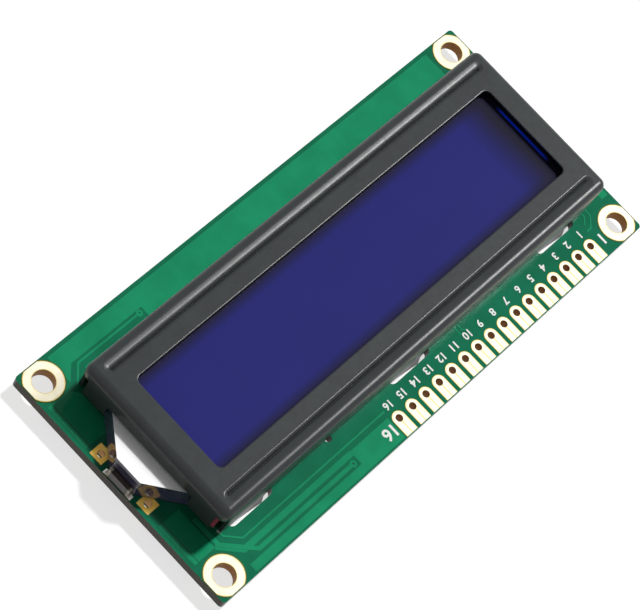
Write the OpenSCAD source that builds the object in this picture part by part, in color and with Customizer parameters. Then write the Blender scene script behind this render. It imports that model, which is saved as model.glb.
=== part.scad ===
// Character LCD module: a green circuit board that carries a liquid crystal cell under a
// folded steel bezel, lit from one end through a clear light guide by a small LED.
//
// Millimetres. +X points to the LED end, +Y to the row of header pads and +Z out of the
// display. The origin is the centre of the four mounting holes, on the board's back face.

/* [Circuit board] */
// Length of the circuit board
board_l = 80; // [79:0.5:84]
// Width of the circuit board
board_w = 36; // [35.5:0.5:40]
// Thickness of the circuit board
board_t = 1.6; // [1.2:0.1:2.4]
// Radius of the board's four corners
board_corner_r = 0.5; // [0.2:0.1:0.8]
// Thickness of the plated copper, on the faces and down the holes
plating_t = 0.05; // [0.03:0.01:0.08]
// Bare margin that plated copper keeps from the board's edges
copper_edge_gap = 0.15; // [0.1:0.05:0.3]

/* [Mounting holes] */
// Diameter of a finished mounting hole
hole_d = 3; // [2:0.1:3.2]
// Distance from a mounting hole's centre to both edges of its corner
hole_inset = 2.5; // [2.3:0.1:2.6]
// Diameter of the plated ring around a mounting hole
ring_d = 5.2; // [4.4:0.1:5.4]

/* [Header pads] */
// Number of header pads in the row
header_pins = 16; // [10:1:16]
// Spacing of the header pads
header_pitch = 2.54; // [2.3:0.02:2.6]
// Distance from the board's far end to the first header hole
header_start = 8; // [7:0.5:10]
// Distance from the header holes to the board's long edge
header_inset = 2.5; // [2:0.1:3]
// Diameter of a finished header hole
header_hole_d = 1; // [0.8:0.05:1.2]
// Width of a header pad
header_pad_w = 1.94; // [1.6:0.02:2.1]

/* [Lamp pads] */
// Distance between the two square lamp pads beside the light guide's nose
lamp_pad_pitch = 8; // [7:0.1:10]
// Width of a square lamp pad
lamp_pad_w = 2; // [1.6:0.1:2.4]
// Distance from the lamp pads' holes to the board's LED end
lamp_pad_inset = 1.55; // [1.4:0.05:2]
// Diameter of a finished lamp pad hole
lamp_hole_d = 1; // [0.7:0.05:1.1]

/* [Bezel] */
// Length of the bezel over its end walls
bezel_l = 70.6; // [69:0.1:71.6]
// Width of the bezel over its side walls
bezel_w = 23.3; // [22.8:0.1:23.8]
// Height of the bezel's face above the board
bezel_h = 6.9; // [6.2:0.1:9]
// Distance from the bezel's centreline to the board's centreline
bezel_shift = 0.6; // [0.3:0.1:0.9]
// Thickness of the bezel's sheet steel
sheet_t = 0.5; // [0.3:0.05:0.6]
// Outside radius of the bends around the bezel's face
bend_r = 0.6; // [0.6:0.05:1]
// Length of the viewing window
window_l = 64.7; // [60:0.1:66]
// Width of the viewing window
window_w = 14.8; // [14:0.1:16]
// Radius of the window's corners
window_r = 1; // [0.4:0.1:2]
// Width of the two stiffening beads pressed into the face
bead_w = 1.3; // [1:0.05:1.6]
// Depth of the beads, which press the cell onto its contact strips
bead_depth = 0.5; // [0.35:0.05:0.7]
// Distance from a bead's centreline to the outside of the bezel's side wall
bead_inset = 1.75; // [1.7:0.05:2]
// Distance from a bead's end to the bezel's end
bead_end_gap = 1.1; // [1.1:0.1:4]
// Gap between the board and the lower edge of the bezel's end walls
end_wall_gap = 2; // [1:0.1:3]
// Length of solid bend left above the slit at each corner
corner_web = 0.9; // [0.3:0.1:1.2]
// Distance that the slit at each corner reaches past the bend
corner_relief = 0.3; // [0.1:0.05:0.5]

/* [Bezel tabs] */
// Number of tabs on each side wall
tab_count = 3; // [2:1:3]
// Spacing of the tabs
tab_pitch = 29; // [27:0.5:29.5]
// Length of a tab
tab_l = 6; // [4:0.1:6.6]
// Height of the twisted part of a tab, behind the board
tab_drop = 1.4; // [1.3:0.1:2.5]
// Angle through which a tab is twisted to lock the bezel
tab_twist = 6; // [4:1:24]
// Length of the slots that the tabs pass through
slot_l = 7.5; // [7.2:0.1:8.5]
// Width of the slots
slot_w = 1.6; // [1.4:0.05:1.8]
// Distance from the middle of a tab to the middle of its slot
slot_shift = 0.45; // [0.3:0.05:0.5]
// Diameter of the assembly peg hole beside the bezel
peg_hole_d = 1; // [0.8:0.1:1.4]
// Distance from the middle of the board to the assembly peg hole
peg_hole_x = 15.2; // [10:0.2:20]

/* [Liquid crystal cell] */
// Thickness of each sheet of glass
glass_t = 0.8; // [0.5:0.05:1.1]
// Gap between the glass and the inside of the bezel's end walls
glass_end_gap = 0.4; // [0.35:0.05:0.8]
// Gap between the front glass and the inside of the bezel's side walls
glass_side_gap = 0.15; // [0.1:0.05:0.3]
// Thickness of the liquid crystal between the sheets of glass
crystal_t = 0.05; // [0.03:0.01:0.1]
// Width of the seal around the liquid crystal
seal_w = 1.2; // [0.8:0.1:1.6]
// Width of the filling mouth's resin plug
plug_w = 3; // [2:0.5:5]
// Thickness of a polarizing film
polarizer_t = 0.2; // [0.1:0.05:0.3]
// Margin of glass left bare around the rear polarizing film
polarizer_margin = 0.4; // [0.2:0.1:0.8]

/* [Contact strips] */
// Width of a contact strip over its two sponge layers
strip_w = 2.4; // [2:0.1:2.6]
// Thickness of a sponge layer
sponge_t = 0.65; // [0.4:0.05:0.8]
// Gap between a contact strip and the bezel's side wall
strip_wall_gap = 0.1; // [0.05:0.05:0.2]
// Gap between a contact strip and the parts inside it
strip_inner_gap = 0.2; // [0.15:0.05:0.4]
// Gap between a contact strip's end and the bezel's end wall
strip_end_gap = 0.3; // [0.2:0.1:1]
// Spacing of the contact fingers under the strips
finger_pitch = 1.6; // [1.2:0.1:2]
// Width of a contact finger
finger_w = 0.9; // [0.5:0.1:1]

/* [Backlight] */
// Thickness of the diffuser film over the light guide
diffuser_t = 0.2; // [0.1:0.05:0.4]
// Thickness of the white film under the light guide
reflector_t = 0.14; // [0.1:0.02:0.2]
// Thickness of the silver tape on the light guide's nose
tape_t = 0.08; // [0.05:0.01:0.12]
// Width of the nose's flat tip, which faces the LED
nose_tip_w = 4.1; // [3.6:0.1:5]
// Radius of the corners at the nose's tip
nose_corner_r = 0.5; // [0.2:0.1:0.8]
// Gap between the light guide and the bezel's end walls
guide_end_gap = 0.9; // [0.6:0.1:1.5]
// Gap between the nose and the notch that it passes through
notch_gap = 0.3; // [0.2:0.05:0.5]
// Gap between the nose's tip and the LED
lamp_gap = 0.05; // [0.02:0.01:0.1]

/* [LED] */
// Length of the LED's body
led_body_l = 2.8; // [2.4:0.1:3.2]
// Depth of the LED, front to back
led_depth = 0.7; // [0.6:0.05:0.8]
// Height of the LED
led_h = 1.6; // [1.2:0.1:2]
// Length of the metal terminal at each end of the LED
led_terminal_l = 0.4; // [0.3:0.05:0.5]
// Distance from the LED's back to the board's end
led_edge_gap = 0.1; // [0.08:0.01:0.14]
// Length of the solder fillet beyond each terminal
solder_l = 0.5; // [0.3:0.05:0.5]
// Height of the solder fillets
solder_h = 0.8; // [0.5:0.1:1.1]

/* [Back of the board] */
// Diameter of the resin cap over each of the two chips
cap_d = 13; // [10:0.5:15]
// Height of the resin caps
cap_h = 1.15; // [0.9:0.05:1.2]
// Distance between the two resin caps
cap_pitch = 34; // [30:0.5:38]
// Width of the controller chip
controller_w = 4.2; // [3:0.1:5]
// Width of the driver chip
driver_w = 3.4; // [2.4:0.1:4.4]
// Thickness of the chips
chip_t = 0.4; // [0.3:0.05:0.5]
// Number of chip resistors in the row
resistor_count = 6; // [3:1:7]
// Spacing of the chip resistors
resistor_pitch = 2.4; // [2.2:0.1:2.6]
// Length of a chip resistor or capacitor
smd_l = 2; // [1.6:0.1:2.2]
// Width of a chip resistor or capacitor
smd_w = 1.25; // [0.8:0.05:1.3]
// Height of a chip resistor
resistor_h = 0.5; // [0.35:0.05:0.6]
// Height of a chip capacitor
capacitor_h = 0.8; // [0.5:0.05:1]
// Length of the metal cap at each end of a chip part
smd_cap_l = 0.35; // [0.25:0.05:0.5]

/* [Hidden] */
$fn = 48;
cut = 1;                                // how far a cutting shape runs past what it cuts

// Heights, from the board upwards
top_z = board_t;                        // front face of the board
copper_z = top_z + plating_t;           // top of the plated copper
face_z = top_z + bezel_h;               // front face of the bezel
glass_z = face_z - sheet_t - bead_depth;// front of the front glass, under the beads
ledge_z = glass_z - glass_t;            // back of the front glass, where the strips press
rear_z = ledge_z - crystal_t - glass_t; // back of the rear glass
diffuser_z = rear_z - polarizer_t - diffuser_t;
reflector_z = copper_z + 0.01;          // underside of the white film, just clear of the pads
guide_z = reflector_z + reflector_t;    // underside of the light guide
guide_t = diffuser_z - guide_z;

// Places along X, measured from the middle of the board
board_end = board_l / 2;
wall_x = bezel_l / 2 - sheet_t;         // inside of the end walls
glass_l = 2 * (wall_x - glass_end_gap);
led_back = board_end - led_edge_gap;
nose_tip = led_back - led_depth - lamp_gap;
guide_end = wall_x - guide_end_gap;     // where the nose starts

// Places along Y, measured from the bezel's centreline
centre_y = -bezel_shift;
wall_y = bezel_w / 2 - sheet_t;         // inside of the side walls
strip_outer = wall_y - strip_wall_gap;
strip_inner = strip_outer - strip_w;
rear_w = 2 * (strip_inner - strip_inner_gap);
front_w = 2 * (wall_y - glass_side_gap);
film_l = glass_l - 2 * polarizer_margin;
film_w = rear_w - 2 * polarizer_margin;
slot_y = wall_y + sheet_t / 2 + slot_shift;

// The nose narrows in a straight line from the guide's full width to its tip
nose_slope = (rear_w - nose_tip_w) / 2 / (nose_tip - guide_end);
function nose_half(x) = nose_tip_w / 2 + (nose_tip - x) * nose_slope;

// The bead's pressed section: half widths at its mouth and its floor
bead_pitch = bezel_w - 2 * bead_inset;
bead_floor_w = bead_w - 0.9 * bead_depth;
bead_skin = 0.7 * sheet_t;              // sheet left beside the bead, thinned by the pressing
tab_steps = 4;

// Chip parts on the back of the board
resistor_y = 6.2;
capacitor_x = 7.6;
capacitor_y = -3;

// ---- Shapes that repeat ---------------------------------------------------------------

// A flat rounded rectangle about the origin
module rounded_rect(l, w, r) {
    square([l - 2 * r, w], center = true);
    square([l, w - 2 * r], center = true);
    for (x = [-1, 1], y = [-1, 1])
        translate([x * (l / 2 - r), y * (w / 2 - r)]) circle(r);
}

// A block on z = 0 whose top and upright edges are rounded
module rounded_block(l, w, h, r) {
    linear_extrude(h - r) rounded_rect(l, w, r);
    linear_extrude(h) square([l - 2 * r, w - 2 * r], center = true);
    for (s = [-1, 1]) {
        translate([0, s * (w / 2 - r), h - r])
            rotate([0, 90, 0]) cylinder(h = l - 2 * r, r = r, center = true);
        translate([s * (l / 2 - r), 0, h - r])
            rotate([90, 0, 0]) cylinder(h = w - 2 * r, r = r, center = true);
    }
    for (x = [-1, 1], y = [-1, 1])
        translate([x * (l / 2 - r), y * (w / 2 - r), h - r]) sphere(r);
}

// A slab about the bezel's centreline, standing on height z
module slab(l, w, t, z) {
    translate([-l / 2, centre_y - w / 2, z]) cube([l, w, t]);
}

// Copies at the four mounting holes
module at_mounting_holes() {
    for (x = [-1, 1], y = [-1, 1])
        translate([x * (board_l / 2 - hole_inset), y * (board_w / 2 - hole_inset)])
            children();
}

// Copies at the header holes, from the first one at the board's far end
module at_header_holes() {
    for (i = [0 : header_pins - 1])
        translate([header_start - board_l / 2 + i * header_pitch, board_w / 2 - header_inset])
            children();
}

// Copies at the two lamp pads
module at_lamp_pads() {
    for (y = [-1, 1])
        translate([board_end - lamp_pad_inset, centre_y + y * lamp_pad_pitch / 2]) children();
}

// Copies along both side walls, where the tabs are; the far wall's are turned round
module at_tabs() {
    for (side = [0, 180], i = [0 : tab_count - 1])
        translate([0, centre_y, 0]) rotate(side)
            translate([(i - (tab_count - 1) / 2) * tab_pitch, 0, 0]) children();
}

// The part of the board's face that plated copper may cover
module copper_area() {
    square([board_l - 2 * copper_edge_gap, board_w - 2 * copper_edge_gap], center = true);
}

// The barrel of a plated hole, through the board and both of its pads
module barrel(d) {
    translate([0, 0, -plating_t]) cylinder(h = board_t + 2 * plating_t, d = d + 2 * plating_t);
}

// The bore of a plated hole, or of the bare hole that takes a barrel
module bore(d) {
    translate([0, 0, -cut]) cylinder(h = board_t + 2 * cut, d = d);
}

// The same flat pad on the front and on the back of the board
module both_faces() {
    for (z = [-plating_t, board_t])
        translate([0, 0, z]) linear_extrude(plating_t) children();
}

// ---- Board and plated copper ----------------------------------------------------------

module printed_circuit_board() {
    color([0.05, 0.42, 0.27])
    difference() {
        linear_extrude(board_t) rounded_rect(board_l, board_w, board_corner_r);
        at_mounting_holes() bore(hole_d + 2 * plating_t);
        at_header_holes() bore(header_hole_d + 2 * plating_t);
        at_lamp_pads() bore(lamp_hole_d + 2 * plating_t);
        at_tabs()
            translate([0, slot_y, -cut]) linear_extrude(board_t + 2 * cut)
                rounded_rect(slot_l, slot_w, slot_w / 2 - 0.01);
        translate([peg_hole_x, centre_y + slot_y + 0.35, 0]) bore(peg_hole_d);
    }
}

module mounting_rings() {
    color([0.93, 0.82, 0.5])
    difference() {
        union() {
            both_faces() intersection() {
                copper_area();
                at_mounting_holes() circle(d = ring_d);
            }
            at_mounting_holes() barrel(hole_d);
        }
        at_mounting_holes() bore(hole_d);
    }
}

module header_pads() {
    pad_reach = header_inset - copper_edge_gap;
    color([0.93, 0.82, 0.5])
    difference() {
        union() {
            both_faces() at_header_holes() {
                circle(d = header_pad_w);
                translate([-header_pad_w / 2, 0]) square([header_pad_w, pad_reach]);
            }
            at_header_holes() barrel(header_hole_d);
        }
        at_header_holes() bore(header_hole_d);
    }
}

module lamp_pads() {
    color([0.85, 0.62, 0.2])
    difference() {
        union() {
            both_faces() at_lamp_pads() square(lamp_pad_w, center = true);
            at_lamp_pads() barrel(lamp_hole_d);
        }
        at_lamp_pads() bore(lamp_hole_d);
    }
}

// The two small pads that the LED is soldered to
module led_pads() {
    pad_l = led_terminal_l + solder_l;
    color([0.85, 0.62, 0.2])
    for (side = [-1, 1])
        translate([
            led_back - led_depth,
            centre_y + side * (led_body_l / 2 + pad_l / 2) - pad_l / 2,
            top_z
        ]) cube([led_depth, pad_l, plating_t]);
}

// Two rows of plated fingers that the contact strips stand on
module contact_fingers() {
    finger_l = strip_w - 2 * sponge_t;
    row = floor((2 * (wall_x - strip_end_gap) - finger_w) / finger_pitch);
    color([0.85, 0.62, 0.2])
    for (side = [-1, 1], i = [0 : row])
        translate([
            (i - row / 2) * finger_pitch - finger_w / 2,
            centre_y + side * (strip_inner + strip_w / 2) - finger_l / 2,
            top_z
        ]) cube([finger_w, finger_l, plating_t]);
}

// ---- Bezel ----------------------------------------------------------------------------

// A pressed bead's body: a trapezium run along X, with the same section turned at its ends
module bead(mouth, floor_w, depth) {
    run = bezel_l - 2 * bead_end_gap - bead_w;
    rotate([90, 0, 90]) linear_extrude(run, center = true)
        polygon([[-mouth / 2, 0], [-floor_w / 2, -depth], [floor_w / 2, -depth], [mouth / 2, 0]]);
    for (s = [-1, 1])
        translate([s * run / 2, 0, 0]) rotate_extrude()
            polygon([[0, 0], [0, -depth], [floor_w / 2, -depth], [mouth / 2, 0]]);
}

// The plain folded box, with its beads pressed in, before it is cut
module bezel_shell() {
    difference() {
        union() {
            difference() {
                rounded_block(bezel_l, bezel_w, bezel_h, bend_r);
                translate([0, 0, -cut])
                    rounded_block(bezel_l - 2 * sheet_t, bezel_w - 2 * sheet_t,
                        bezel_h - sheet_t + cut, bend_r - sheet_t);
            }
            for (s = [-1, 1])
                translate([0, s * bead_pitch / 2, bezel_h - sheet_t])
                    bead(bead_w + 2 * bead_skin, bead_floor_w + 2 * bead_skin, bead_depth);
        }
        for (s = [-1, 1])
            translate([0, s * bead_pitch / 2, bezel_h]) bead(bead_w, bead_floor_w, bead_depth);
    }
}

// A tab: straight through its slot, then twisted behind the board in equal steps
module tab() {
    step = tab_drop / tab_steps;
    translate([0, wall_y + sheet_t / 2, 0]) {
        translate([-tab_l / 2, -sheet_t / 2, 0]) cube([tab_l, sheet_t, top_z + cut]);
        for (i = [1 : tab_steps])
            translate([0, 0, -i * step]) rotate(-tab_twist * i / tab_steps)
                translate([-tab_l / 2, -sheet_t / 2, 0]) cube([tab_l, sheet_t, step]);
    }
}

module bezel() {
    slit_h = bezel_h - bend_r - corner_web;
    slit_l = bend_r + corner_relief;
    notch_w = 2 * (nose_half(wall_x) + notch_gap);
    notch_h = guide_z + guide_t + tape_t + notch_gap - top_z;
    color([0.16, 0.17, 0.18]) {
        translate([0, centre_y, top_z]) difference() {
            bezel_shell();
            translate([0, 0, bezel_h - sheet_t - cut]) linear_extrude(sheet_t + 2 * cut)
                rounded_rect(window_l, window_w, window_r);
            for (x = [-1, 1], y = [-1, 1])
                translate([x * (bezel_l / 2), y * (bezel_w / 2), slit_h / 2 - cut])
                    cube([2 * slit_l, 2 * slit_l, slit_h + 2 * cut], center = true);
            for (x = [-1, 1])
                translate([x * (bezel_l / 2), 0, 0])
                    cube([2 * slit_l, bezel_w - 2 * slit_l + cut, 2 * end_wall_gap], center = true);
            translate([bezel_l / 2, 0, 0])
                cube([2 * slit_l, notch_w, 2 * notch_h], center = true);
        }
        at_tabs() tab();
    }
}

// ---- Liquid crystal cell --------------------------------------------------------------

module front_polarizer() {
    bead_room = bead_pitch - bead_w - 2 * bead_skin - 2 * polarizer_margin;
    color([0.1, 0.1, 0.32]) slab(film_l, bead_room, polarizer_t, glass_z);
}

module front_glass() {
    color([0.55, 0.65, 0.7, 0.5]) slab(glass_l, front_w, glass_t, ledge_z);
}

module rear_glass() {
    color([0.55, 0.65, 0.7, 0.5]) slab(glass_l, rear_w, glass_t, rear_z);
}

module liquid_crystal() {
    color([0.12, 0.12, 0.45])
        slab(glass_l - 2 * seal_w, rear_w - 2 * seal_w, crystal_t, ledge_z - crystal_t);
}

module cell_seal() {
    color([0.2, 0.2, 0.22])
    difference() {
        slab(glass_l, rear_w, crystal_t, ledge_z - crystal_t);
        translate([0, 0, -cut])
            slab(glass_l - 2 * seal_w, rear_w - 2 * seal_w, crystal_t + 2 * cut,
                ledge_z - crystal_t);
    }
}

// The drop of resin that closes the cell's filling mouth, at the end away from the LED
module fill_plug() {
    plug_t = 0.6 * glass_end_gap;
    color([0.75, 0.72, 0.6])
        translate([-glass_l / 2 - plug_t, centre_y - plug_w / 2, ledge_z - glass_t / 2])
            cube([plug_t, plug_w, glass_t]);
}

module rear_polarizer() {
    color([0.3, 0.3, 0.35]) slab(film_l, film_w, polarizer_t, rear_z - polarizer_t);
}

// ---- Contact strips -------------------------------------------------------------------

// One layer of a contact strip on each side of the cell, from one offset to another
module strip_layer(inner, outer) {
    l = 2 * (wall_x - strip_end_gap);
    for (side = [0, 180])
        translate([0, centre_y, copper_z]) rotate(side) translate([-l / 2, inner, 0])
            cube([l, outer - inner, ledge_z - copper_z]);
}

module strip_cores() {
    color([0.08, 0.08, 0.09]) strip_layer(strip_inner + sponge_t, strip_outer - sponge_t);
}

module strip_sponges() {
    color([0.75, 0.3, 0.36]) {
        strip_layer(strip_inner, strip_inner + sponge_t);
        strip_layer(strip_outer - sponge_t, strip_outer);
    }
}

// ---- Backlight ------------------------------------------------------------------------

// Points of the rounded corner on one side of the nose's tip, from the slope to the tip
function nose_corner(side) = let (
    turn = atan(1 / nose_slope),
    run = nose_corner_r * tan((90 - turn) / 2),
    cx = nose_tip - nose_corner_r,
    cy = nose_tip_w / 2 - run
) [for (i = [0 : 4]) let (a = (90 - turn) * (1 - i / 4))
    [cx + nose_corner_r * cos(a), side * (cy + nose_corner_r * sin(a))]];

// The nose's outline from a place under the bezel to its tip, with a straight tail behind it
module nose_outline(x, tail) {
    w = nose_half(x);
    polygon(concat(
        [[x - tail, w], [x, w]], nose_corner(1),
        [for (i = [4 : -1 : 0]) nose_corner(-1)[i]], [[x, -w], [x - tail, -w]]
    ));
}

module light_guide() {
    color([0.85, 0.88, 0.92, 0.6])
    translate([0, centre_y, guide_z]) linear_extrude(guide_t)
        nose_outline(guide_end, 2 * guide_end);
}

module diffuser() {
    color([0.93, 0.93, 0.95]) slab(2 * guide_end, film_w, diffuser_t, diffuser_z);
}

// White film between the board and the light guide, with a tongue under the nose
module guide_reflector() {
    tongue = led_back - led_depth - guide_end - 0.6;
    color([0.95, 0.95, 0.95]) {
        slab(2 * guide_end, film_w, reflector_t, reflector_z);
        translate([guide_end, centre_y - nose_tip_w / 2, reflector_z])
            cube([tongue, nose_tip_w, reflector_t]);
    }
}

// Silver tape on top of the nose, from under the bezel to the tip
module nose_tape() {
    color([0.92, 0.92, 0.93])
    translate([0, centre_y, guide_z + guide_t]) linear_extrude(tape_t)
        nose_outline(guide_end + 0.3, 0.2);
}

// ---- LED ------------------------------------------------------------------------------

module led_body() {
    color([0.12, 0.1, 0.09])
        translate([led_back - led_depth, centre_y - led_body_l / 2, copper_z])
            cube([led_depth, led_body_l, led_h]);
}

module led_terminals() {
    color([0.75, 0.74, 0.7])
    for (side = [-1, 1])
        translate([
            led_back - led_depth,
            centre_y + side * (led_body_l + led_terminal_l) / 2 - led_terminal_l / 2,
            copper_z
        ]) cube([led_depth, led_terminal_l, led_h]);
}

module led_solder() {
    foot = led_body_l / 2 + led_terminal_l;
    color([0.8, 0.8, 0.78])
    for (side = [0, 180])
        translate([led_back - led_depth / 2, centre_y, copper_z]) rotate(side)
            rotate([90, 0, 90]) linear_extrude(led_depth, center = true)
                polygon([[foot, 0], [foot + solder_l, 0], [foot + 0.35 * solder_l, 0.3 * solder_h],
                    [foot, solder_h]]);
}

// ---- Back of the board ----------------------------------------------------------------

// A drop of black resin, hanging from the board's back, with a pocket for its chip
module resin_cap(x, chip_w) {
    cap_r = cap_d / 2;
    ball_r = (cap_r * cap_r + cap_h * cap_h) / (2 * cap_h);
    color([0.06, 0.06, 0.07])
    translate([x, centre_y, 0]) mirror([0, 0, 1]) difference() {
        rotate_extrude() intersection() {
            translate([0, cap_h - ball_r]) circle(ball_r, $fn = 360);
            square([cap_r, cap_h]);
        }
        translate([-chip_w / 2, -chip_w / 2, -cut]) cube([chip_w, chip_w, chip_t + cut]);
    }
}

module bare_chip(x, chip_w) {
    color([0.35, 0.36, 0.4])
        translate([x - chip_w / 2, centre_y - chip_w / 2, -chip_t]) cube([chip_w, chip_w, chip_t]);
}

module controller_cap() { resin_cap(-cap_pitch / 2, controller_w); }
module controller_chip() { bare_chip(-cap_pitch / 2, controller_w); }
module driver_cap() { resin_cap(cap_pitch / 2, driver_w); }
module driver_chip() { bare_chip(cap_pitch / 2, driver_w); }

// Copies at the chip resistors, in a row across the middle of the board
module at_resistors() {
    for (i = [0 : resistor_count - 1])
        translate([(i - (resistor_count - 1) / 2) * resistor_pitch, resistor_y, 0]) children();
}

// Copies at the two chip capacitors, one beside each resin cap
module at_capacitors() {
    for (s = [-1, 1])
        translate([s * capacitor_x, capacitor_y, 0]) children();
}

// A chip part's body, hanging from the board with its length along Y
module smd_body(h) {
    l = smd_l - 2 * smd_cap_l;
    translate([-smd_w / 2, -l / 2, -h]) cube([smd_w, l, h]);
}

// A chip part's two metal end caps
module smd_ends(h) {
    for (s = [-1, 1])
        translate([-smd_w / 2, s * (smd_l - smd_cap_l) / 2 - smd_cap_l / 2, -h])
            cube([smd_w, smd_cap_l, h]);
}

module resistor_bodies() { color([0.07, 0.07, 0.08]) at_resistors() smd_body(resistor_h); }
module resistor_ends() { color([0.78, 0.78, 0.76]) at_resistors() smd_ends(resistor_h); }
module capacitor_bodies() { color([0.6, 0.48, 0.33]) at_capacitors() smd_body(capacitor_h); }
module capacitor_ends() { color([0.78, 0.78, 0.76]) at_capacitors() smd_ends(capacitor_h); }

// ---- Nodes ----------------------------------------------------------------------------

printed_circuit_board();
mounting_rings();
header_pads();
lamp_pads();
led_pads();
contact_fingers();
bezel();
front_polarizer();
front_glass();
liquid_crystal();
cell_seal();
fill_plug();
rear_glass();
rear_polarizer();
strip_cores();
strip_sponges();
diffuser();
light_guide();
guide_reflector();
nose_tape();
led_body();
led_terminals();
led_solder();
controller_cap();
controller_chip();
driver_cap();
driver_chip();
resistor_bodies();
resistor_ends();
capacitor_bodies();
capacitor_ends();
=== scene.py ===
import math

import bmesh
import bpy
from mathutils import Matrix, Quaternion, Vector


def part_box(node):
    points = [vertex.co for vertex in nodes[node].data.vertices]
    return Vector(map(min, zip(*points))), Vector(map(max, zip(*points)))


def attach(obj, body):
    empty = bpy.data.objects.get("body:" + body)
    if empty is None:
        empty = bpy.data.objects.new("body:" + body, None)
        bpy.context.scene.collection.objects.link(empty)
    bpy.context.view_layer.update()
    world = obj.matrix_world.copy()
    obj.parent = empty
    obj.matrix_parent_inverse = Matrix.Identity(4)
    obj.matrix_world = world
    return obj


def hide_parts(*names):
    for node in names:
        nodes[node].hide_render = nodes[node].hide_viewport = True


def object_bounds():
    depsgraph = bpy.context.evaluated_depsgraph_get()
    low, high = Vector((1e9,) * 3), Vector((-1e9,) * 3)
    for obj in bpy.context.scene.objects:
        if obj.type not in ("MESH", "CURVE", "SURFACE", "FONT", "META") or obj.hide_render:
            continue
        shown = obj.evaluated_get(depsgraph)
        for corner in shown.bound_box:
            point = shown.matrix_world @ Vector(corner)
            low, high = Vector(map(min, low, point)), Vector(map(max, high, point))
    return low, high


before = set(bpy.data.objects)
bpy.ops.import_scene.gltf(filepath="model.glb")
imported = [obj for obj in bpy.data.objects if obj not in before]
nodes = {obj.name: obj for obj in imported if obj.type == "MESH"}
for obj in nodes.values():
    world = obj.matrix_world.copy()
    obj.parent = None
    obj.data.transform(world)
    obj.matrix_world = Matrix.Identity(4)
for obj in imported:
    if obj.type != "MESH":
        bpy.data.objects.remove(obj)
cad_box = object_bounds()
MM = 0.001

# ---- Circuit board -----------------------------------------------------------------------
# A sheet of woven glass and epoxy, cut and drilled, with a glossy green lacquer on both
# faces. The cut edges and the bare holes show the brown laminate.

board_low, board_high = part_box("printed_circuit_board")
top = board_high.z
back = board_low.z


def start_finish(name, roughness, metallic=0.0, specular=0.5, coat=0.0):
    """A new material: its node tree, the Principled shader and the object's own coordinates."""
    finish = bpy.data.materials.new(name)
    finish.use_nodes = True
    tree = finish.node_tree
    shader = tree.nodes["Principled BSDF"]
    shader.inputs["Roughness"].default_value = roughness
    shader.inputs["Metallic"].default_value = metallic
    shader.inputs["Specular IOR Level"].default_value = specular
    shader.inputs["Coat Weight"].default_value = coat
    place = tree.nodes.new("ShaderNodeTexCoord").outputs["Object"]
    return finish, tree, shader, place


def cloud(tree, place, scale, detail=3.0, stretch=(1.0, 1.0, 1.0)):
    """Soft random mottling, with `scale` cells to the metre."""
    mapping = tree.nodes.new("ShaderNodeMapping")
    mapping.inputs["Scale"].default_value = stretch
    tree.links.new(place, mapping.inputs["Vector"])
    noise = tree.nodes.new("ShaderNodeTexNoise")
    noise.inputs["Scale"].default_value = scale
    noise.inputs["Detail"].default_value = detail
    tree.links.new(mapping.outputs["Vector"], noise.inputs["Vector"])
    return noise.outputs["Fac"]


def blend(tree, amount, dark, light):
    """A colour between two others. Each is a colour or another node's output."""
    mix = tree.nodes.new("ShaderNodeMix")
    mix.data_type = "RGBA"
    for socket, value in ((0, amount), (6, dark), (7, light)):
        if isinstance(value, bpy.types.NodeSocket):
            tree.links.new(value, mix.inputs[socket])
        elif socket == 0:
            mix.inputs[socket].default_value = value
        else:
            mix.inputs[socket].default_value = (*value, 1.0)
    return mix.outputs[2]


def spread(tree, value, low, high, to_low=0.0, to_high=1.0):
    """Stretches the part of a value between low and high over another range, clamped."""
    ramp = tree.nodes.new("ShaderNodeMapRange")
    tree.links.new(value, ramp.inputs["Value"])
    for socket, number in (
        ("From Min", low), ("From Max", high), ("To Min", to_low), ("To Max", to_high),
    ):
        ramp.inputs[socket].default_value = number
    return ramp.outputs["Result"]


def combine(tree, operation, a, b):
    """Arithmetic on two values. Each is a number or another node's output."""
    maths = tree.nodes.new("ShaderNodeMath")
    maths.operation = operation
    for socket, value in enumerate((a, b)):
        if isinstance(value, bpy.types.NodeSocket):
            tree.links.new(value, maths.inputs[socket])
        else:
            maths.inputs[socket].default_value = value
    return maths.outputs[0]


def axes(tree, vector):
    """The x, y and z of a vector as three outputs."""
    split = tree.nodes.new("ShaderNodeSeparateXYZ")
    tree.links.new(vector, split.inputs[0])
    return split.outputs


def facing(tree):
    """How far a face points along z, from 0 on a wall to 1 on a flat top or bottom."""
    normal = axes(tree, tree.nodes.new("ShaderNodeNewGeometry").outputs["Normal"])
    return combine(tree, "ABSOLUTE", normal["Z"], 0.0)


def relief(tree, shader, height, depth):
    """Bump, `depth` metres deep, from a height between 0 and 1."""
    bump = tree.nodes.new("ShaderNodeBump")
    bump.inputs["Strength"].default_value = 1.0
    bump.inputs["Distance"].default_value = depth
    tree.links.new(height, bump.inputs["Height"])
    tree.links.new(bump.outputs["Normal"], shader.inputs["Normal"])


def weave_of_board(tree, place):
    """The glass cloth that shows faintly through the lacquer, as crossed waves."""
    threads = []
    for direction in ("X", "Y"):
        wave = tree.nodes.new("ShaderNodeTexWave")
        wave.bands_direction = direction
        wave.inputs["Scale"].default_value = 420.0
        wave.inputs["Distortion"].default_value = 1.5
        tree.links.new(place, wave.inputs["Vector"])
        threads.append(wave.outputs["Fac"])
    return combine(tree, "MULTIPLY", *threads)


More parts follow.
